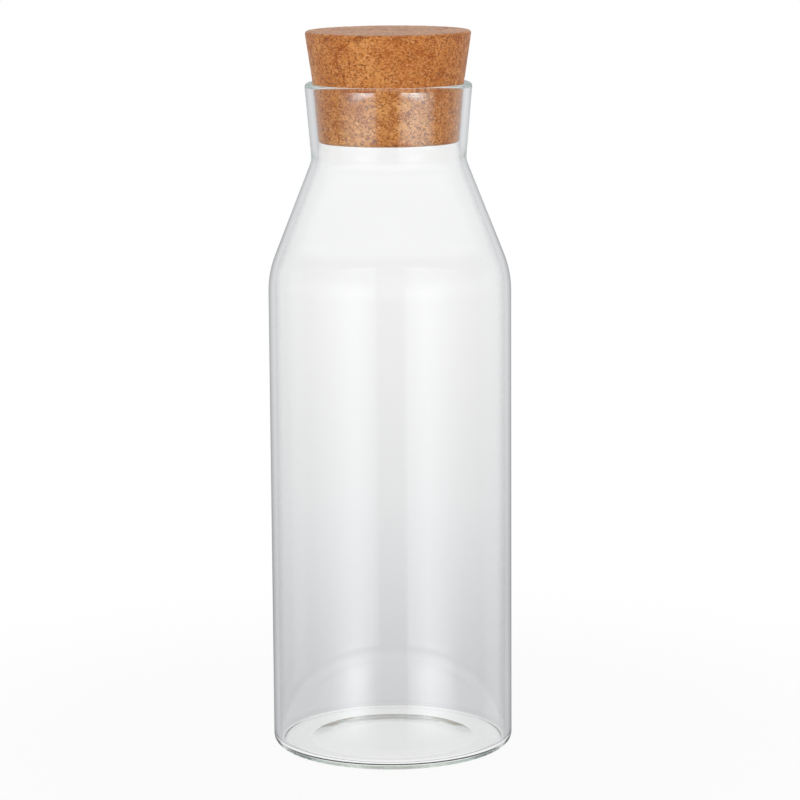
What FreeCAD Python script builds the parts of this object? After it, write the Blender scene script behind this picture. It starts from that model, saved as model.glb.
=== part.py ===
import FreeCAD, Part
import math
import os

# Tall clear-glass storage bottle with a wide straight body, a conical shoulder and a flared neck,
# closed by a tapered stopper of pressed cork granules that is pushed into the mouth by hand.
# The origin is the middle of the ring that the bottle stands on, and +Z runs up the common axis.
# Lengths are millimetres. The sizes below drive the whole model.

# Bottle, outside
BODY_DIAMETER = 90.0
BODY_HEIGHT = 178.9
CONE_HEIGHT = 41.7
NECK_HEIGHT = 28.4
NECK_FOOT_DIAMETER = 57.0
NECK_FLARE = 2.4

# Bottle, thickness of the glass
BODY_WALL = 2.2
NECK_WALL = 3.0
FLOOR_THICKNESS = 1.8

# Bottle, roundings of the blown glass
SHOULDER_RADIUS = 36.0
NECK_FOOT_RADIUS = 9.0
INNER_NECK_FOOT_RADIUS = 21.0
HEEL_RADIUS = 3.4
INNER_HEEL_RADIUS = 2.5
LIP_ROUNDING_SHARE = 0.48

# Bottle, base: a flat ring to stand on, round a shallow recess that curves up to a flat middle
STANDING_RING_WIDTH = 10.6
RECESS_SLOPE_WIDTH = 13.0
RECESS_RISE = 0.49

# Stopper
SEAT_CLEARANCE = 0.08
PLUG_DEPTH = 21.5
HEAD_HEIGHT = 19.0
HEAD_FLARE = 2.8
WAIST_RADIUS = 20.0
HEAD_EDGE_RADIUS = 1.0
PLUG_EDGE_RADIUS = 1.6

# A rounding takes up no more than this share of the shorter straight run beside it.
ROUNDING_ROOM_SHARE = 0.49

# Sizes that follow from those above
BODY_RADIUS = BODY_DIAMETER / 2
NECK_FOOT_OUTER = NECK_FOOT_DIAMETER / 2
MOUTH_OUTER = NECK_FOOT_OUTER + NECK_FLARE
MOUTH_BORE = MOUTH_OUTER - NECK_WALL
NECK_FOOT_HEIGHT = BODY_HEIGHT + CONE_HEIGHT
LIP_HEIGHT = NECK_FOOT_HEIGHT + NECK_HEIGHT
RECESS_RADIUS = BODY_RADIUS - HEEL_RADIUS - STANDING_RING_WIDTH

FULL_TURN_DEGREES = 360
AXIS = FreeCAD.Vector(0, 0, 1)
ORIGIN = FreeCAD.Vector(0, 0, 0)


def at(radius, height):
    """Point of an outline, by its distance from the axis and its height."""
    return FreeCAD.Vector(radius, 0, height)


def crossing(first, second, third, fourth):
    """Point where the line through two points meets the line through two others."""
    along = second - first
    other = fourth - third
    across = along.x * other.z - along.z * other.x
    reach = ((third.x - first.x) * other.z - (third.z - first.z) * other.x) / across
    return first + along * reach


def rounded_run(start, corners, end):
    """Straight edges from start to end by way of the corners, each rounded by its tangent arc."""
    points = [start] + [corner for corner, _ in corners] + [end]
    edges = []
    last = start
    for before, (corner, radius), after in zip(points, corners, points[2:]):
        back = before - corner
        ahead = after - corner
        room = ROUNDING_ROOM_SHARE * min(back.Length, ahead.Length)
        half_angle = back.getAngle(ahead) / 2
        reach = min(radius / math.tan(half_angle), room)
        back.normalize()
        ahead.normalize()
        middle_way = back + ahead
        middle_way.normalize()
        arc_radius = reach * math.tan(half_angle)
        arc_start = corner + back * reach
        arc_middle = corner + middle_way * (arc_radius / math.sin(half_angle) - arc_radius)
        arc_end = corner + ahead * reach
        edges.append(Part.LineSegment(last, arc_start).toShape())
        edges.append(Part.Arc(arc_start, arc_middle, arc_end).toShape())
        last = arc_end
    edges.append(Part.LineSegment(last, end).toShape())
    return edges


def recess_edges():
    """Edges of the recess under the base: flat round the axis, then an arc that leaves it smoothly for the ring."""
    flat_radius = RECESS_RADIUS - RECESS_SLOPE_WIDTH
    arc_radius = (RECESS_SLOPE_WIDTH ** 2 + RECESS_RISE ** 2) / (2 * RECESS_RISE)
    half_angle = math.asin(RECESS_SLOPE_WIDTH / arc_radius) / 2
    crown = at(0, RECESS_RISE)
    flat_edge = at(flat_radius, RECESS_RISE)
    middle = flat_edge + at(arc_radius * math.sin(half_angle), arc_radius * (math.cos(half_angle) - 1))
    return [
        Part.LineSegment(crown, flat_edge).toShape(),
        Part.Arc(flat_edge, middle, at(RECESS_RADIUS, 0)).toShape(),
    ]


def turned(edges):
    """Solid turned about the axis from the edges of a closed outline."""
    face = Part.Face(Part.Wire(Part.__sortEdges__(edges)))
    return face.revolve(ORIGIN, AXIS, FULL_TURN_DEGREES)


def glass_bottle():
    """Bottle blown in one piece, with an even wall and a fire-rounded lip."""
    shoulder = at(BODY_RADIUS, BODY_HEIGHT)
    neck_foot = at(NECK_FOOT_OUTER, NECK_FOOT_HEIGHT)
    lip_outside = at(MOUTH_OUTER, LIP_HEIGHT)
    lip_inside = at(MOUTH_BORE, LIP_HEIGHT)
    bore_foot = at(NECK_FOOT_OUTER - NECK_WALL, NECK_FOOT_HEIGHT)

    # The inside of the cone runs one wall within its outside.
    down_cone = shoulder - neck_foot
    down_cone.normalize()
    inward = at(down_cone.z, -down_cone.x) * BODY_WALL
    inner_radius = BODY_RADIUS - BODY_WALL
    floor_corner = at(inner_radius, FLOOR_THICKNESS)
    floor_middle = at(0, FLOOR_THICKNESS)
    inner_wall_top = at(inner_radius, BODY_HEIGHT)
    inner_neck_foot = crossing(lip_inside, bore_foot, neck_foot + inward, shoulder + inward)
    inner_shoulder = crossing(floor_corner, inner_wall_top, neck_foot + inward, shoulder + inward)

    lip_radius = LIP_ROUNDING_SHARE * NECK_WALL
    wall = rounded_run(
        at(RECESS_RADIUS, 0),
        [
            (at(BODY_RADIUS, 0), HEEL_RADIUS),
            (shoulder, SHOULDER_RADIUS),
            (neck_foot, NECK_FOOT_RADIUS),
            (lip_outside, lip_radius),
            (lip_inside, lip_radius),
            (inner_neck_foot, INNER_NECK_FOOT_RADIUS),
            (inner_shoulder, SHOULDER_RADIUS - BODY_WALL),
            (floor_corner, INNER_HEEL_RADIUS),
        ],
        floor_middle,
    )
    axis_edge = Part.LineSegment(floor_middle, at(0, RECESS_RISE)).toShape()
    return turned(recess_edges() + wall + [axis_edge])


def cork_stopper():
    """Stopper in one piece: a plug that follows the bore's taper under a head that flares above the lip."""
    seat_radius = MOUTH_BORE - SEAT_CLEARANCE
    plug_taper = NECK_FLARE * PLUG_DEPTH / NECK_HEIGHT
    top_height = LIP_HEIGHT + HEAD_HEIGHT
    bottom_height = LIP_HEIGHT - PLUG_DEPTH
    top_centre = at(0, top_height)
    bottom_centre = at(0, bottom_height)
    side = rounded_run(
        bottom_centre,
        [
            (at(seat_radius - plug_taper, bottom_height), PLUG_EDGE_RADIUS),
            (at(seat_radius, LIP_HEIGHT), WAIST_RADIUS),
            (at(seat_radius + HEAD_FLARE, top_height), HEAD_EDGE_RADIUS),
        ],
        top_centre,
    )
    return turned(side + [Part.LineSegment(top_centre, bottom_centre).toShape()])


os.makedirs("parts", exist_ok=True)
for node, shape in {"glass_bottle": glass_bottle(), "cork_stopper": cork_stopper()}.items():
    shape.exportStep(f"parts/{node}.step")
    print(node, "valid" if shape.isValid() else "INVALID", shape.ShapeType, round(shape.Volume, 1))
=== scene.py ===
import math
import bmesh
import bpy
import numpy as np
from mathutils import Matrix, Vector
from mathutils.kdtree import KDTree


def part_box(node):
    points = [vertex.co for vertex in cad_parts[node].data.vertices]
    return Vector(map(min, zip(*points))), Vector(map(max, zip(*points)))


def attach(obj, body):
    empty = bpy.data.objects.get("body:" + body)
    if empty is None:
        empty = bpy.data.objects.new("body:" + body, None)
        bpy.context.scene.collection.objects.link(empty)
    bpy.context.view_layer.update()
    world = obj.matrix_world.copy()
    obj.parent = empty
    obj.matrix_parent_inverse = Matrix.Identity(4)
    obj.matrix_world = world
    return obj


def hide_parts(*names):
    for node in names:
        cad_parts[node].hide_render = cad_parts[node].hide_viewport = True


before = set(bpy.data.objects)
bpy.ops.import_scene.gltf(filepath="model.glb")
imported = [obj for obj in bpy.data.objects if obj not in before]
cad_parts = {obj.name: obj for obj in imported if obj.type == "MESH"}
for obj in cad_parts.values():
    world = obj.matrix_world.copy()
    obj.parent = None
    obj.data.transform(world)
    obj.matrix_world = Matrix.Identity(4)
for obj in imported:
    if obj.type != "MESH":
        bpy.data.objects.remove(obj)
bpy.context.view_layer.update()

# Sizes read from the frame, in metres like every length here
_, bottle_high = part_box("glass_bottle")
stopper_low, stopper_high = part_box("cork_stopper")
BODY_RADIUS = bottle_high.x
LIP_HEIGHT = bottle_high.z
PLUG_BOTTOM = stopper_low.z
HEAD_TOP = stopper_high.z

# Bottle outline
BODY_HEIGHT = 0.1789
NECK_FOOT_HEIGHT = 0.2206
NECK_FOOT_RADIUS = 0.0285
MOUTH_RADIUS = 0.0309
BODY_WALL = 0.0022
NECK_WALL = 0.0030
FLOOR_THICKNESS = 0.0018
SHOULDER_ROUNDING = 0.036
NECK_FOOT_ROUNDING = 0.009
INNER_NECK_FOOT_ROUNDING = 0.021
HEEL_ROUNDING = 0.0034
INNER_HEEL_ROUNDING = 0.0025
LIP_ROUNDING = 0.00144
RECESS_RADIUS = 0.031
RECESS_FLAT_RADIUS = 0.018
RECESS_RISE = 0.00049

# Stopper outline
SEAT_CLEARANCE = 0.00008
HEAD_FLARE = 0.0028
WAIST_ROUNDING = 0.020
HEAD_EDGE_ROUNDING = 0.0010
PLUG_EDGE_ROUNDING = 0.0016

# Fineness of the meshes: the longest steps along an outline, the points round the axis, and the place of
# the points beside a rounding that keep its shading from spreading
GLASS_STEP = 0.005
GLASS_SEGMENTS = 256
CORK_STEP = 0.00045
CORK_SEGMENTS = 376
RECESS_POINTS = 63
ARC_STEP_DEGREES = 4.0
FEWEST_ARC_STEPS = 3
HOLDING_GAP = 0.00015

# Cork granules
GRANULE_SIZE = 0.0024
GRANULE_SEED = 7
SEAM_WIDTH = 0.00032
SEAM_DEPTH = 0.00007
PIT_SHARE = 0.035
PIT_DEPTH = 0.0004
PIT_SLOPE_WIDTH = 3 * SEAM_WIDTH

# Cork colours. The gain is painted light: it lightens the plug, which stands in the neck's glass.
CORK_TONES = [
    (0.0, (0.53, 0.168, 0.030, 1.0)),
    (0.5, (0.70, 0.268, 0.060, 1.0)),
    (1.0, (0.83, 0.390, 0.118, 1.0)),
]
CORK_BARK = (0.26, 0.060, 0.005, 1.0)
CORK_SEAM = (0.40, 0.090, 0.006, 1.0)
CORK_FLECK = (0.98, 0.55, 0.27, 1.0)
# The top's paler tone: partly dust, partly painted sheen
CORK_DUST_AND_SHEEN = (0.80, 0.60, 0.40, 1.0)
CORK_PLUG_PAINTED_LIGHT = (1.07, 1.15, 1.20)

# Cork patterns: a scale is how many cells or waves fit into a metre, the reach is how far the edges of the
# crumbs wander, and the squeeze flattens them.
PATCH_SCALE = 60.0
CLOUD_SCALE = 170.0
COARSE_EDGE_SCALE = 560.0
RAGGED_SCALE = 700.0
BARK_SCALE = 900.0
BARK_DISTORTION = 0.6
CRUMB_SCALE = 950.0
FINE_EDGE_SCALE = 1200.0
GRIT_SCALE = 1800.0
GRAIN_SCALE = 1900.0
RAGGED_REACH = (0.0012, 0.0012, 0.0012)
CRUMB_SQUEEZE = (1.0, 1.0, 1.4)
RELIEF_DEPTH = 0.0002

# Depths below the cork's top where the rim's specks and the top's dust and painted sheen begin and where
# they are full, and half the height of the change at the lip to the plug's colours, lightened there by
# painted light
RIM_START = 0.0034
RIM_FULL = 0.0010
DUST_AND_SHEEN_START = 0.0006
DUST_AND_SHEEN_FULL = 0.0002
PLUG_PAINTED_LIGHT_FADE = 0.001

# Glass
GLASS_IOR = 1.47
GLASS_TINT = (0.50, 0.80, 0.62, 1.0)
GLASS_TINT_DENSITY = 1.5
GLASS_LIGHT_SHARE = 0.98

# Camera of the photograph
CAMERA_PLACE = Vector((0.0035, -1.2216, 0.3440))
CAMERA_TILT_DEGREES = 9.911
CAMERA_ROLL_DEGREES = -0.383
CAMERA_LENS_MM = 149.5

# Softboxes
SOFTBOX_DISTANCE = 1.3
SOFTBOX_AZIMUTH_DEGREES = 32.0
SOFTBOX_ELEVATION_DEGREES = 64.0
SOFTBOX_SIDE = 0.70
SOFTBOX_RADIANCE = 1.0

# Floor: its shadow fades to white from one distance to another, and the painted contact shadow, a dark line
# under the base, fades in towards the camera
FLOOR_RADIUS = 1.5
FLOOR_SEGMENTS = 128
FLOOR_DROP = 0.0002
FLOOR_COLOUR = 0.85
FLOOR_WHITE_SHARE = 0.91
SHADOW_FADE_START = 0.05
SHADOW_FADE_END = 0.30
UNDER_BASE_RADIUS = 0.043
UNDER_BASE_FADE = 0.002
UNDER_BASE_LEVEL = 1.0
CONTACT_SHADOW_RADIUS = 0.0408
CONTACT_SHADOW_WIDTH = 0.0012
CONTACT_SHADOW_LEVEL = 0.06
CONTACT_SHADOW_START = -0.008
CONTACT_SHADOW_FULL = -0.020

# Soft light all round. Each stop is (degrees, level), by elevation or by azimuth from the camera's side.
LIGHT_BY_ELEVATION = [(-90, 0.70), (-20, 0.80), (0, 1.2), (22, 1.2), (50, 0.35), (90, 0.25)]
LIGHT_BY_AZIMUTH = [(0, 1.33), (45, 1.07), (90, 0.72), (135, 0.66), (180, 0.67)]

# What the glass shows, in the same kind of stops. Where left and right differ, azimuths to the left are
# below zero.
COOL_WHITE = (0.985, 1.0, 1.02)
BACKDROP_BY_ELEVATION = [
    (-30, 0.90), (-21, 0.66), (-15, 0.66), (-14, 0.735), (-12.5, 0.832), (-11.6, 0.885), (-8, 0.995),
    (-7.3, 0.975), (-6.5, 0.975), (-5.6, 1.0),
]
BACKDROP_COOL = (0.985, 0.993, 1.02, 1.0)
BACKDROP_COOL_START = -9
BACKDROP_COOL_FULL = -16
LOW_MIRROR_BY_AZIMUTH = [
    (0, 0.10), (15, 0.12), (50, 0.18), (85, 0.24), (105, 0.25), (114, 0.33), (125, 0.46), (135, 0.58),
    (148, 0.73), (160, 0.60), (170, 0.42), (180, 0.28),
]
LOW_MIRROR_BY_ELEVATION = [
    (-15.5, 0.80), (-14.7, 0.84), (-13.4, 0.83), (-12.4, 0.87), (-11.5, 0.92), (-9, 1.0),
]
HIGH_MIRROR_BY_AZIMUTH = [
    (0, 0.42), (50, 0.40), (95, 0.34), (120, 0.50), (140, 0.70), (156, 0.72), (170, 0.60), (180, 0.52),
]
HIGH_MIRROR_START = -5
HIGH_MIRROR_FULL = 5
DEEP_MIRROR_LEVEL = 0.75
DEEP_MIRROR_START = -22
DEEP_MIRROR_FULL = -34
STRIP_BY_AZIMUTH = [
    (-80, 0.0), (-62, 0.4), (-48, 0.8), (-38, 1.0), (-28, 0.88), (-20.5, 0.62), (-17.6, 0.54),
    (-16.4, 0.16), (-15, 0.18), (-13.8, 0.28), (-12.5, 0.14), (-10.5, 0.0), (13.4, 0.0), (15.6, 0.58),
    (24, 0.7), (35, 1.0), (50, 0.6), (64, 0.15), (76, 0.0), (98, 0.0), (106, 0.25), (122, 0.25), (132, 0.0),
]
STRIP_BY_ELEVATION = [
    (-16.0, 0.0), (-15.2, 1.2), (-14.4, 1.1), (-13.4, 0.95), (-12.4, 0.77), (-11.5, 0.70), (-8, 0.70),
    (0, 0.66), (8, 0.7), (20, 0.0),
]

# Light trays round the neck and near the floor, by azimuth in the same way and by distance from the axis:
# a cool veil on the neck, a brighter glint under its lip, a faint light in the edges of its glass, and the
# bright foot of each strip on the body. The grid of a tray hides its light from a slant on, and slant goes
# from 0 straight above the tray to 1 level with it. What is seen through more faces of glass than the near
# wall has shows none of it.
TRAY_SEGMENTS = 256
STEEP_GRID_SLANT = 0.775
OPEN_GRID_SLANT = 1.0
GRID_FADE = 0.02
NEAR_WALL_FACES = 2
NECK_TRAY_HEIGHT = 0.185
VEIL_TINT = (0.50, 0.95, 1.10)
VEIL_BY_AZIMUTH = [
    (-72, 0.0), (-66, 0.5), (-50, 0.72), (-36, 0.8), (-19, 0.8), (-17.5, 0.0), (13, 0.0), (20, 0.85),
    (36, 1.5), (50, 1.5), (64, 1.2), (67, 0.0),
]
VEIL_BY_DISTANCE = [(0.190, 0.0), (0.196, 1.0), (0.31, 1.0), (0.32, 0.0)]
GLINT_TINT = (0.70, 0.95, 1.05)
GLINT_BY_AZIMUTH = [
    (-56, 0.0), (-46, 2.5), (-34, 6.5), (-22, 6.5), (-18, 0.0), (14, 0.0), (20, 6.5), (36, 6.5), (48, 2.5),
    (56, 0.0),
]
GLINT_BY_DISTANCE = [(0.268, 0.0), (0.280, 1.0), (0.31, 1.0), (0.32, 0.0)]
EDGE_TRAY_HEIGHT = 0.184
EDGE_BY_AZIMUTH = [
    (-176, 0.16), (-158, 0.10), (-142, 0.0), (134, 0.0), (146, 0.08), (160, 0.14), (176, 0.17),
]
EDGE_BY_DISTANCE = [(0.28, 0.0), (0.33, 1.0), (0.66, 1.0), (0.72, 0.0)]
LOW_TRAY_HEIGHT = 0.004
CORE_BY_AZIMUTH = [
    (-53, 0.0), (-43, 0.35), (-36, 0.85), (-28, 1.0), (-22, 0.6), (-17, 0.1), (-15, 0.0), (13.5, 0.0),
    (17, 0.3), (24, 0.8), (31.5, 1.0), (38, 0.9), (48, 0.5), (56, 0.0),
]
CORE_BY_DISTANCE = [(0.062, 0.0), (0.119, 1.5), (0.150, 1.8), (0.166, 1.8), (0.196, 0.6), (0.225, 0.0)]


class Shade:
    """One socket of a shader. Arithmetic on it adds Math nodes to its tree."""

    def __init__(self, tree, socket=None):
        self.tree = tree
        self.socket = socket

    def node(self, kind, settings=None, inputs=None, output=0):
        """Adds a node with its settings, then the values or links of its sockets, and gives one output."""
        made = self.tree.nodes.new(kind)
        for name, value in (settings or {}).items():
            if name == "stops":
                set_stops(made.color_ramp, value)
            else:
                setattr(made, name, value)
        for name, value in (inputs or {}).items():
            if isinstance(value, Shade):
                self.tree.links.new(value.socket, made.inputs[name])
            else:
                made.inputs[name].default_value = value
        return Shade(self.tree, made.outputs[output] if made.outputs else None)

    def math(self, operation, *values):
        """Adds a Math node that works out an operation on values."""
        return self.node("ShaderNodeMath", {"operation": operation}, dict(enumerate(values)))

    def __add__(self, other):
        return self.math("ADD", self, other)

    def __sub__(self, other):
        return self.math("SUBTRACT", self, other)

    def __rsub__(self, other):
        return self.math("SUBTRACT", other, self)

    def __mul__(self, other):
        return self.math("MULTIPLY", self, other)

    __radd__ = __add__
    __rmul__ = __mul__

    def between(self, low, high):
        """Rises smoothly from 0 at low to 1 at high."""
        settings = {"interpolation_type": "SMOOTHSTEP"}
        return self.node("ShaderNodeMapRange", settings, {"Value": self, "From Min": low, "From Max": high})

    def mix(self, low, high):
        """Colour between low and high by this share, through the sockets that a Mix node has for colours."""
        return self.node("ShaderNodeMix", {"data_type": "RGBA"}, {0: self, 6: low, 7: high}, 2)

    def blend(self, low, high):
        """Value between low and high by this share, through the sockets that a Mix node has for values."""
        return self.node("ShaderNodeMix", {"data_type": "FLOAT"}, {0: self, 2: low, 3: high})

    def times(self, other):
        """Colour times a colour or a level."""
        return self.node("ShaderNodeVectorMath", {"operation": "MULTIPLY"}, {0: self, 1: other})

    def choose(self, low, high):
        """Shader low where this is 0 and shader high where it is 1."""
        return self.node("ShaderNodeMixShader", {}, {0: self, 1: low, 2: high})


def set_stops(ramp, stops):
    """Sets a colour ramp to stops of (place, colour)."""
    while len(ramp.elements) < len(stops):
        ramp.elements.new(1.0)
    for element, (place, colour) in zip(ramp.elements, stops):
        element.position = place
        element.color = colour


def grey(level):
    """Colour of an even grey."""
    return (level, level, level, 1.0)


def by_stops(value, stops):
    """Level read from stops of (value, level)."""
    low, high = stops[0][0], stops[-1][0]
    share = value.node("ShaderNodeMapRange", {}, {"Value": value, "From Min": low, "From Max": high})
    top = max(level for _, level in stops)
    places = [((place - low) / (high - low), grey(level / top)) for place, level in stops]
    return share.node("ShaderNodeValToRGB", {"stops": places}, {0: share}) * top


def azimuth_of(x, y):
    """Degrees round the axis from the camera's side, below zero to the left."""
    return x.math("DEGREES", x.math("ARCTAN2", x, y * -1))


def new_material(name):
    """Empty material and a Shade to add its nodes by."""
    material = bpy.data.materials.new(name)
    material.use_nodes = True
    material.node_tree.nodes.clear()
    return material, Shade(material.node_tree)


def add_object(name, data):
    """Object of a mesh, a lamp or a camera, put into the scene."""
    made = bpy.data.objects.new(name, data)
    bpy.context.scene.collection.objects.link(made)
    return made


# Shapes turned about the axis

def crossing(first, second, third, fourth):
    """Point where the line through two points meets the line through two others."""
    along = second - first
    other = fourth - third
    across = along[0] * other[1] - along[1] * other[0]
    gap = third - first
    return first + along * (gap[0] * other[1] - gap[1] * other[0]) / across


def rounded_path(corners, step):
    """Points (distance from the axis, height) along runs through corners (point, rounding radius)."""
    points = [np.array(corner[0], float) for corner in corners]
    path = [points[0]]
    for before, corner, after, (_, radius) in zip(points, points[1:], points[2:], corners[1:]):
        back = (before - corner) / np.linalg.norm(before - corner)
        ahead = (after - corner) / np.linalg.norm(after - corner)
        half_angle = math.acos(float(np.clip(back @ ahead, -1, 1))) / 2
        reach = radius / math.tan(half_angle)
        middle_way = (back + ahead) / np.linalg.norm(back + ahead)
        centre = corner + middle_way * radius / math.sin(half_angle)
        add_run(path, corner + back * reach, step)
        start = corner + back * reach - centre
        turn = math.pi - 2 * half_angle
        side = math.copysign(1, ahead[0] * back[1] - ahead[1] * back[0])
        by_angle = math.ceil(math.degrees(turn) / ARC_STEP_DEGREES)
        by_length = math.ceil(turn * radius / step)
        count = max(FEWEST_ARC_STEPS, by_angle, by_length)
        for share in np.arange(1, count + 1) / count:
            angle = side * turn * share
            spin = np.array([[math.cos(angle), -math.sin(angle)], [math.sin(angle), math.cos(angle)]])
            path.append(centre + spin @ start)
    add_run(path, points[-1], step)
    return np.array(path)


def add_run(path, end, step):
    """Adds points along a straight run from the path's last point to end, with one close to each end.

    The close ones keep the shading of a rounding from spreading along the run beside it.
    """
    start = path[-1]
    length = np.linalg.norm(end - start)
    count = math.ceil(length / step)
    shares = np.arange(1, count) / count
    if length > 4 * HOLDING_GAP:
        hold = HOLDING_GAP / length
        shares = np.concatenate([[hold], shares[(shares > 2 * hold) & (shares < 1 - 2 * hold)], [1 - hold]])
    path.extend(start + (end - start) * share for share in np.append(shares, 1.0))


def turned_mesh(name, path, segments):
    """Closed mesh turned about the axis from a path that starts and ends on it."""
    rings = path[1:-1]
    angles = np.arange(segments) * (2 * math.pi / segments)
    ring_points = np.empty((len(rings), segments, 3))
    ring_points[:, :, 0] = rings[:, :1] * np.cos(angles)
    ring_points[:, :, 1] = rings[:, :1] * np.sin(angles)
    ring_points[:, :, 2] = rings[:, 1:]
    poles = [(0, 0, path[0][1]), (0, 0, path[-1][1])]
    points = np.vstack([poles, ring_points.reshape(-1, 3)])
    here = np.arange(segments)
    beside = np.roll(here, -1)
    first = len(poles)
    faces = [(0, first + b, first + a) for a, b in zip(here, beside)]
    for ring in range(len(rings) - 1):
        low = first + ring * segments
        high = low + segments
        faces.extend((low + a, low + b, high + b, high + a) for a, b in zip(here, beside))
    last = first + (len(rings) - 1) * segments
    faces.extend((1, last + a, last + b) for a, b in zip(here, beside))
    mesh = bpy.data.meshes.new(name)
    mesh.from_pydata(points.tolist(), [], faces)
    mesh.shade_smooth()
    return mesh


def add_piece(name, mesh, material, body, node):
    """Object of the mesh that stands for a node and moves with its body."""
    mesh.materials.append(material)
    piece = add_object(name, mesh)
    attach(piece, body)
    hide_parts(node)


def bottle_path():
    """Outline of the glass from under the base, up the outside, over the lip and down to the inner floor."""
    shoulder = np.array([BODY_RADIUS, BODY_HEIGHT])
    neck_foot = np.array([NECK_FOOT_RADIUS, NECK_FOOT_HEIGHT])
    lip_outside = np.array([MOUTH_RADIUS, LIP_HEIGHT])
    lip_inside = np.array([MOUTH_RADIUS - NECK_WALL, LIP_HEIGHT])
    bore_foot = np.array([NECK_FOOT_RADIUS - NECK_WALL, NECK_FOOT_HEIGHT])
    down_cone = (shoulder - neck_foot) / np.linalg.norm(shoulder - neck_foot)
    inward = np.array([down_cone[1], -down_cone[0]]) * BODY_WALL
    inner_radius = BODY_RADIUS - BODY_WALL
    floor_corner = np.array([inner_radius, FLOOR_THICKNESS])
    inner_top = np.array([inner_radius, BODY_HEIGHT])
    inner_neck_foot = crossing(lip_inside, bore_foot, neck_foot + inward, shoulder + inward)
    inner_shoulder = crossing(floor_corner, inner_top, neck_foot + inward, shoulder + inward)
    wall = rounded_path(
        [
            ((RECESS_RADIUS, 0), 0),
            ((BODY_RADIUS, 0), HEEL_ROUNDING),
            (shoulder, SHOULDER_ROUNDING),
            (neck_foot, NECK_FOOT_ROUNDING),
            (lip_outside, LIP_ROUNDING),
            (lip_inside, LIP_ROUNDING),
            (inner_neck_foot, INNER_NECK_FOOT_ROUNDING),
            (inner_shoulder, SHOULDER_ROUNDING - BODY_WALL),
            (floor_corner, INNER_HEEL_ROUNDING),
            ((0, FLOOR_THICKNESS), 0),
        ],
        GLASS_STEP,
    )
    radii = np.linspace(0, RECESS_RADIUS, RECESS_POINTS, endpoint=False)
    slope_share = np.clip((radii - RECESS_FLAT_RADIUS) / (RECESS_RADIUS - RECESS_FLAT_RADIUS), 0, 1)
    under = np.column_stack([radii, RECESS_RISE * (1 - slope_share ** 2)])
    return np.vstack([under, wall])


def stopper_path():
    """Outline of the stopper from under the plug to the top of the head."""
    seat_radius = MOUTH_RADIUS - NECK_WALL - SEAT_CLEARANCE
    taper = (MOUTH_RADIUS - NECK_FOOT_RADIUS) / (LIP_HEIGHT - NECK_FOOT_HEIGHT)
    plug_radius = seat_radius - taper * (LIP_HEIGHT - PLUG_BOTTOM)
    return rounded_path(
        [
            ((0, PLUG_BOTTOM), 0),
            ((plug_radius, PLUG_BOTTOM), PLUG_EDGE_ROUNDING),
            ((seat_radius, LIP_HEIGHT), WAIST_ROUNDING),
            ((seat_radius + HEAD_FLARE, HEAD_TOP), HEAD_EDGE_ROUNDING),
            ((0, HEAD_TOP), 0),
        ],
        CORK_STEP,
    )


def press_granules(mesh):
    """Cuts seams between granules and pits into the cork, and keeps each granule's tone for its colour."""
    count = len(mesh.vertices)
    places = np.empty(count * 3)
    normals = np.empty(count * 3)
    mesh.vertices.foreach_get("co", places)
    mesh.vertices.foreach_get("normal", normals)
    places = places.reshape(-1, 3)
    normals = normals.reshape(-1, 3)
    random = np.random.default_rng(GRANULE_SEED)
    low = places.min(0) - GRANULE_SIZE
    high = places.max(0) + GRANULE_SIZE
    steps = [np.arange(a, b, GRANULE_SIZE) for a, b in zip(low, high)]
    centres = np.stack(np.meshgrid(*steps, indexing="ij"), -1).reshape(-1, 3)
    centres += random.uniform(-0.5, 0.5, centres.shape) * GRANULE_SIZE
    tones = random.random(len(centres))
    missing = random.random(len(centres)) < PIT_SHARE
    tree = KDTree(len(centres))
    for index, centre in enumerate(centres):
        tree.insert(centre, index)
    tree.balance()
    tone = np.empty(count)
    seam = np.empty(count)
    pit = np.zeros(count)
    for index, place in enumerate(places):
        (_, nearest, first), (_, _, second) = tree.find_n(place, 2)
        tone[index] = tones[nearest]
        seam[index] = 1 - min(1.0, (second - first) / SEAM_WIDTH)
        if missing[nearest]:
            pit[index] = min(1.0, (second - first) / PIT_SLOPE_WIDTH)
    places -= normals * (SEAM_DEPTH * seam + PIT_DEPTH * pit)[:, None]
    mesh.vertices.foreach_set("co", places.ravel())
    for name, values in {"tone": tone, "seam": seam, "pit": pit}.items():
        mesh.attributes.new(name, "FLOAT", "POINT").data.foreach_set("value", values)
    mesh.update()


# Finishes

def clear_glass():
    """Clear glass, faintly green where it is thick, that lets the lamps through."""
    material, shade = new_material("clear_glass")
    solid = shade.node("ShaderNodeBsdfPrincipled", {}, {
        "Base Color": grey(1.0), "Roughness": 0.0, "IOR": GLASS_IOR, "Transmission Weight": 1.0,
    })
    tint = shade.node("ShaderNodeVolumeAbsorption", {}, {"Color": GLASS_TINT, "Density": GLASS_TINT_DENSITY})
    clear = shade.node("ShaderNodeBsdfTransparent", {}, {"Color": grey(GLASS_LIGHT_SHARE)})
    from_lamp = shade.node("ShaderNodeLightPath", output="Is Shadow Ray")
    from_surface = shade.node("ShaderNodeLightPath", output="Is Diffuse Ray")
    lights = from_lamp.math("MAXIMUM", from_lamp, from_surface)
    shade.node("ShaderNodeOutputMaterial", {}, {"Surface": lights.choose(solid, clear), "Volume": tint})
    return material


def cork_noise(place, scale, detail, distortion=0.0):
    """Soft clouds over the cork, as a level."""
    inputs = {"Vector": place, "Scale": scale, "Detail": detail, "Distortion": distortion}
    return place.node("ShaderNodeTexNoise", {}, inputs)


def cork_cells(place, scale):
    """Crumbs of the cork, each with a random level."""
    cells = place.node("ShaderNodeTexVoronoi", {}, {"Vector": place, "Scale": scale}, "Color")
    return cells.node("ShaderNodeSeparateColor", {}, {0: cells})


def cork_cell_edges(place, scale):
    """Crumbs of the cork, as the distance to the nearest edge of one."""
    settings = {"feature": "DISTANCE_TO_EDGE"}
    return place.node("ShaderNodeTexVoronoi", settings, {"Vector": place, "Scale": scale})


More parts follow.
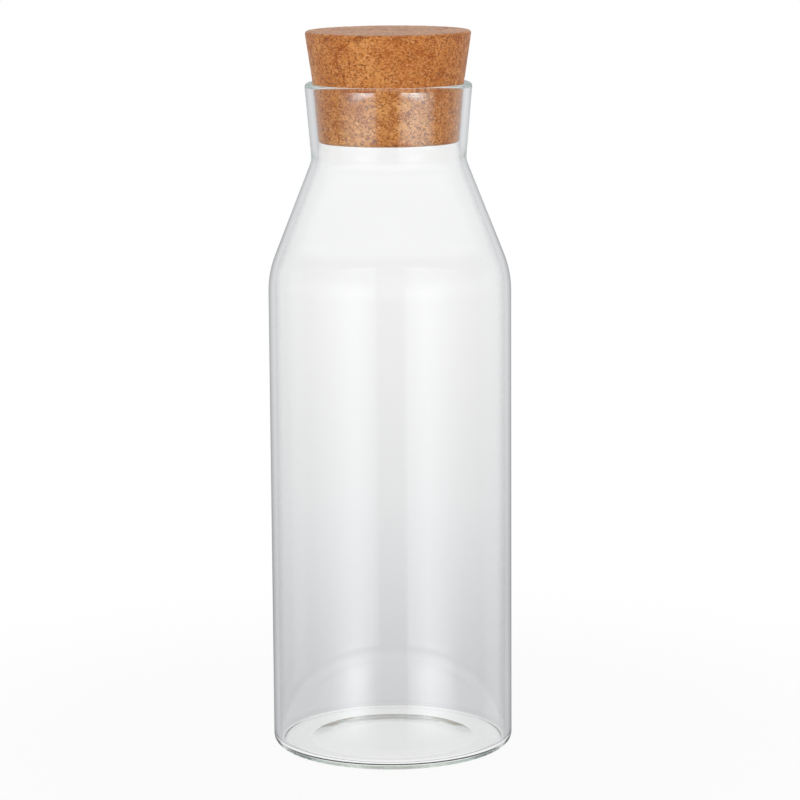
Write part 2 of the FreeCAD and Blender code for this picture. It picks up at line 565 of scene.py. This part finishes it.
def cork_colour(place, ragged, crumb):
    """Browns by granule and patch, pale flecks, redder seams, dark bark specks, and a top paler with dust
    and painted sheen.
    """
    tone, seam, pit = (
        place.node("ShaderNodeAttribute", {"attribute_name": name}, output="Fac")
        for name in ("tone", "seam", "pit")
    )
    height = place.node("ShaderNodeSeparateXYZ", {}, {0: place}, "Z")
    rim = height.between(HEAD_TOP - RIM_START, HEAD_TOP - RIM_FULL)
    top = height.between(HEAD_TOP - DUST_AND_SHEEN_START, HEAD_TOP - DUST_AND_SHEEN_FULL)
    plug = height.between(LIP_HEIGHT + PLUG_PAINTED_LIGHT_FADE, LIP_HEIGHT - PLUG_PAINTED_LIGHT_FADE)
    cloud = cork_noise(place, CLOUD_SCALE, 2.0)
    patch = cork_noise(place, PATCH_SCALE, 1.0)
    bark = cork_noise(place, BARK_SCALE, 3.0, BARK_DISTORTION)
    grit = cork_cells(ragged, GRIT_SCALE)
    coarse_edge = cork_cell_edges(ragged, COARSE_EDGE_SCALE)
    fine_edge = cork_cell_edges(ragged, FINE_EDGE_SCALE)
    warmth = tone * 0.24 + crumb * 0.20
    warmth = warmth + cloud.between(0.34, 0.66) * 0.22 + patch.between(0.40, 0.60) * 0.40
    smooth = tone.between(0.45, 0.85) * 0.35
    flecks = grit.between(0.72, 1.0) * (0.5 - smooth)
    dark_grit = grit.between(0.30, 0.06) * (1.0 - smooth)
    bark_edges = coarse_edge.between(0.15, 0.05) * bark.between(0.48, 0.60) * 0.8
    fine_seams = fine_edge.between(0.24, 0.08) * cloud.between(0.50, 0.64) * (0.95 - smooth)
    bark_specks = bark.between(0.65, 0.70) * 0.85
    rim_specks = coarse_edge.between(0.16, 0.06) * bark.between(0.42, 0.52) * rim * 0.45
    # Paler top, partly dust and partly painted sheen
    dust_and_sheen = crumb.between(0.25, 0.75) * top * 0.22
    brown = warmth.node("ShaderNodeValToRGB", {"stops": CORK_TONES}, {0: warmth})
    for share, colour in [
        (flecks, CORK_FLECK),
        (dark_grit, CORK_SEAM),
        (bark_edges, CORK_BARK),
        (fine_seams, CORK_SEAM),
        (bark_specks, CORK_BARK),
        (seam * 0.25, CORK_SEAM),
        (pit * 0.6, CORK_BARK),
        (rim_specks, CORK_BARK),
        (dust_and_sheen, CORK_DUST_AND_SHEEN),
    ]:
        brown = share.mix(brown, colour)
    # Painted light: the plug, which stands in the neck's glass, is lightened below the lip
    return plug.mix(brown, brown.times(CORK_PLUG_PAINTED_LIGHT))


def pressed_cork():
    """Cork granules pressed together, with a fine bump and a soft sheen."""
    material, shade = new_material("pressed_cork")
    place = shade.node("ShaderNodeTexCoord", output="Object")
    wander = {"Vector": place, "Scale": RAGGED_SCALE, "Detail": 1.0}
    ragged = shade.node("ShaderNodeVectorMath", {"operation": "MULTIPLY_ADD"}, {
        0: shade.node("ShaderNodeTexNoise", {}, wander, "Color"),
        1: RAGGED_REACH,
        2: place.times(CRUMB_SQUEEZE),
    })
    crumb = cork_cells(ragged, CRUMB_SCALE)
    grain = cork_noise(place, GRAIN_SCALE, 1.0)
    relief = shade.node("ShaderNodeBump", {}, {
        "Height": grain * 0.6 + crumb * 0.4, "Strength": 0.7, "Distance": RELIEF_DEPTH,
    })
    surface = shade.node("ShaderNodeBsdfPrincipled", {}, {
        "Base Color": cork_colour(place, ragged, crumb),
        "Roughness": grain * 0.2 + 0.55,
        "Normal": relief,
        "Specular IOR Level": 0.35,
        "Sheen Weight": 0.26,
        "Sheen Roughness": 0.4,
    })
    shade.node("ShaderNodeOutputMaterial", {}, {"Surface": surface})
    return material


def in_glass(shade):
    """1 for what the glass shows, by reflection or by looking through it, and 0 for light elsewhere."""
    reflected = shade.node("ShaderNodeLightPath", output="Is Glossy Ray")
    through = shade.node("ShaderNodeLightPath", output="Is Transmission Ray")
    scattered = shade.node("ShaderNodeLightPath", output="Diffuse Depth")
    return reflected.math("MAXIMUM", reflected, through) * scattered.math("LESS_THAN", scattered, 0.5)


def pale_floor():
    """White floor that keeps the object's shadow and runs out into the white background.

    All that the glass shows of it is the disc under the base, with a painted contact shadow, a dark line,
    where the front stands.
    """
    material, shade = new_material("pale_floor")
    place = shade.node("ShaderNodeTexCoord", output="Object")
    distance = shade.node("ShaderNodeVectorMath", {"operation": "LENGTH"}, {0: place}, "Value")
    to_camera = shade.node("ShaderNodeLightPath", output="Is Camera Ray")
    lit = shade.node("ShaderNodeBsdfDiffuse", {}, {"Color": grey(FLOOR_COLOUR)})
    white = shade.node("ShaderNodeEmission", {}, {"Color": grey(1.0)})
    clear = shade.node("ShaderNodeBsdfTransparent")
    faded = distance.between(SHADOW_FADE_START, SHADOW_FADE_END)
    white_share = faded * (1 - FLOOR_WHITE_SHARE) + FLOOR_WHITE_SHARE
    seen = (to_camera * white_share).choose(lit, white)
    under = shade.node("ShaderNodeEmission", {}, {"Color": grey(UNDER_BASE_LEVEL)})
    # Painted contact shadow: a dark line on the floor that the glass shows where the front of the base
    # stands
    line = shade.node("ShaderNodeEmission", {}, {"Color": grey(CONTACT_SHADOW_LEVEL)})
    off_contact_shadow = distance.math("ABSOLUTE", distance - CONTACT_SHADOW_RADIUS)
    back = shade.node("ShaderNodeSeparateXYZ", {}, {0: place}, "Y")
    in_front = back.between(CONTACT_SHADOW_START, CONTACT_SHADOW_FULL)
    on_contact_shadow = off_contact_shadow.between(CONTACT_SHADOW_WIDTH, CONTACT_SHADOW_WIDTH / 2) * in_front
    beyond = distance.between(UNDER_BASE_RADIUS, UNDER_BASE_RADIUS + UNDER_BASE_FADE)
    shown = beyond.choose(on_contact_shadow.choose(under, line), clear)
    shade.node("ShaderNodeOutputMaterial", {}, {"Surface": in_glass(shade).choose(seen, shown)})
    return material


def light_tray(name, grid_slant, lights):
    """Lights on the upper side of a clear tray that only the near wall of the glass shows, by reflection."""
    material, shade = new_material(name)
    place = shade.node("ShaderNodeTexCoord", output="Object")
    x, y = (shade.node("ShaderNodeSeparateXYZ", {}, {0: place}, axis) for axis in "XY")
    azimuth = azimuth_of(x, y)
    distance = shade.node("ShaderNodeVectorMath", {"operation": "LENGTH"}, {0: place}, "Value")
    clear = shade.node("ShaderNodeBsdfTransparent")
    lit = clear
    for tint, around, outward in lights:
        level = by_stops(azimuth, around) * by_stops(distance, outward)
        glow = shade.node("ShaderNodeEmission", {}, {"Color": level.times(tint)})
        lit = shade.node("ShaderNodeAddShader", {}, {0: glow, 1: lit})
    mirrored = shade.node("ShaderNodeLightPath", output="Glossy Depth")
    mirrored = mirrored.math("MINIMUM", mirrored, in_glass(shade))
    from_below = shade.node("ShaderNodeNewGeometry", output="Backfacing")
    faces = shade.node("ShaderNodeLightPath", output="Transmission Depth")
    near_wall = faces.math("LESS_THAN", faces, NEAR_WALL_FACES + 0.5)
    slant = shade.node("ShaderNodeLayerWeight", {}, {"Blend": 0.5}, "Facing")
    through_grid = slant.between(grid_slant + GRID_FADE, grid_slant)
    shows = mirrored * (1 - from_below) * near_wall * through_grid
    shade.node("ShaderNodeOutputMaterial", {}, {"Surface": shows.choose(clear, lit)})
    return material


# Studio

def add_floor():
    """Round floor just below the base."""
    mesh = bpy.data.meshes.new("floor")
    shape = bmesh.new()
    bmesh.ops.create_circle(shape, cap_ends=True, segments=FLOOR_SEGMENTS, radius=FLOOR_RADIUS)
    shape.to_mesh(mesh)
    shape.free()
    mesh.materials.append(pale_floor())
    floor = add_object("floor", mesh)
    floor.location.z = -FLOOR_DROP


def add_light_tray(name, height, grid_slant, lights):
    """Flat ring round the axis that carries lights, each a tint and its stops of azimuth and of distance."""
    inner = min(outward[0][0] for _, _, outward in lights)
    outer = max(outward[-1][0] for _, _, outward in lights)
    angles = np.arange(TRAY_SEGMENTS) * (2 * math.pi / TRAY_SEGMENTS)
    points = [
        (radius * math.cos(angle), radius * math.sin(angle), 0)
        for radius in (inner, outer)
        for angle in angles
    ]
    here = range(TRAY_SEGMENTS)
    beside = [(a + 1) % TRAY_SEGMENTS for a in here]
    faces = [(a, a + TRAY_SEGMENTS, b + TRAY_SEGMENTS, b) for a, b in zip(here, beside)]
    mesh = bpy.data.meshes.new(name)
    mesh.from_pydata(points, [], faces)
    mesh.materials.append(light_tray(name, grid_slant, lights))
    tray = add_object(name, mesh)
    tray.location.z = height


def add_softbox(name, azimuth_degrees):
    """Square soft light above the camera's height that faces the bottle's lip, round to one side."""
    lamp = bpy.data.lights.new(name, "AREA")
    lamp.shape = "SQUARE"
    lamp.size = SOFTBOX_SIDE
    lamp.energy = SOFTBOX_RADIANCE * math.pi * SOFTBOX_SIDE ** 2
    azimuth = math.radians(azimuth_degrees)
    elevation = math.radians(SOFTBOX_ELEVATION_DEGREES)
    level = math.cos(elevation)
    outward = Vector((math.sin(azimuth) * level, -math.cos(azimuth) * level, math.sin(elevation)))
    box = add_object(name, lamp)
    box.location = Vector((0, 0, LIP_HEIGHT)) + outward * SOFTBOX_DISTANCE
    box.rotation_euler = outward.to_track_quat("Z", "Y").to_euler()


def backdrop_colour(elevation):
    """What shows through the glass: a pale backdrop, a little cooler low down."""
    cool = elevation.between(BACKDROP_COOL_START, BACKDROP_COOL_FULL).mix(grey(1.0), BACKDROP_COOL)
    return cool.times(by_stops(elevation, BACKDROP_BY_ELEVATION))


def mirror_colour(elevation, azimuth, aside):
    """What the glass reflects: a dim studio, brighter behind the bottle, with lit strips."""
    low_mirror = by_stops(aside, LOW_MIRROR_BY_AZIMUTH) * by_stops(elevation, LOW_MIRROR_BY_ELEVATION)
    high_mirror = by_stops(aside, HIGH_MIRROR_BY_AZIMUTH)
    mirror = elevation.between(HIGH_MIRROR_START, HIGH_MIRROR_FULL).blend(low_mirror, high_mirror)
    mirror = elevation.between(DEEP_MIRROR_START, DEEP_MIRROR_FULL).blend(mirror, DEEP_MIRROR_LEVEL)
    strips = by_stops(azimuth, STRIP_BY_AZIMUTH) * by_stops(elevation, STRIP_BY_ELEVATION)
    return (mirror + strips).times(COOL_WHITE)


def add_world():
    """Soft light all round that is white to the camera and a pale studio in what the glass shows."""
    world = bpy.data.worlds.new("studio")
    bpy.context.scene.world = world
    world.use_nodes = True
    world.node_tree.nodes.clear()
    shade = Shade(world.node_tree)
    direction = shade.node("ShaderNodeTexCoord", output="Generated")
    x, y, z = (shade.node("ShaderNodeSeparateXYZ", {}, {0: direction}, axis) for axis in "XYZ")
    elevation = z.math("DEGREES", z.math("ARCSINE", z))
    azimuth = azimuth_of(x, y)
    aside = azimuth.math("ABSOLUTE", azimuth)
    bounces = shade.node("ShaderNodeLightPath", output="Glossy Depth")
    mirrored = bounces.math("MINIMUM", bounces, 1.0)
    studio = mirrored.mix(backdrop_colour(elevation), mirror_colour(elevation, azimuth, aside))
    to_camera = shade.node("ShaderNodeLightPath", output="Is Camera Ray")
    lit = by_stops(elevation, LIGHT_BY_ELEVATION) * by_stops(aside, LIGHT_BY_AZIMUTH)
    light = shade.node("ShaderNodeBackground", {}, {"Color": lit})
    shown = shade.node("ShaderNodeBackground", {}, {"Color": studio})
    white = shade.node("ShaderNodeBackground", {}, {"Color": grey(1.0)})
    surface = to_camera.choose(in_glass(shade).choose(light, shown), white)
    shade.node("ShaderNodeOutputWorld", {}, {"Surface": surface})


def add_camera():
    """Camera at the photograph's place, turned down by its tilt and rolled a little."""
    tilt = math.radians(CAMERA_TILT_DEGREES)
    roll = math.radians(CAMERA_ROLL_DEGREES)
    ahead = Vector((0, math.cos(tilt), -math.sin(tilt)))
    level = Vector((1, 0, 0))
    above = level.cross(ahead)
    right = level * math.cos(roll) + above * math.sin(roll)
    up = above * math.cos(roll) - level * math.sin(roll)
    lens = bpy.data.cameras.new("camera")
    lens.lens = CAMERA_LENS_MM
    camera = add_object("camera", lens)
    turn = Matrix((right, up, -ahead)).transposed().to_4x4()
    camera.matrix_world = Matrix.Translation(CAMERA_PLACE) @ turn
    bpy.context.scene.camera = camera


bottle_mesh = turned_mesh("glass_bottle_piece", bottle_path(), GLASS_SEGMENTS)
add_piece("blown_bottle", bottle_mesh, clear_glass(), "bottle", "glass_bottle")

stopper_mesh = turned_mesh("cork_stopper_piece", stopper_path(), CORK_SEGMENTS)
press_granules(stopper_mesh)
add_piece("pressed_stopper", stopper_mesh, pressed_cork(), "stopper", "cork_stopper")

add_floor()
veil = (VEIL_TINT, VEIL_BY_AZIMUTH, VEIL_BY_DISTANCE)
glint = (GLINT_TINT, GLINT_BY_AZIMUTH, GLINT_BY_DISTANCE)
edge = (COOL_WHITE, EDGE_BY_AZIMUTH, EDGE_BY_DISTANCE)
core = (COOL_WHITE, CORE_BY_AZIMUTH, CORE_BY_DISTANCE)
add_light_tray("neck_tray", NECK_TRAY_HEIGHT, STEEP_GRID_SLANT, [veil, glint])
add_light_tray("edge_tray", EDGE_TRAY_HEIGHT, OPEN_GRID_SLANT, [edge])
add_light_tray("low_tray", LOW_TRAY_HEIGHT, OPEN_GRID_SLANT, [core])
add_softbox("left_softbox", -SOFTBOX_AZIMUTH_DEGREES)
add_softbox("right_softbox", SOFTBOX_AZIMUTH_DEGREES)
add_world()
add_camera()
bpy.context.scene.view_settings.view_transform = "Standard"
# Light goes round many times inside the rim and the base before it leaves the glass
bpy.context.scene.cycles.max_bounces = 200
bpy.context.scene.cycles.glossy_bounces = 200
bpy.context.scene.cycles.transmission_bounces = 64
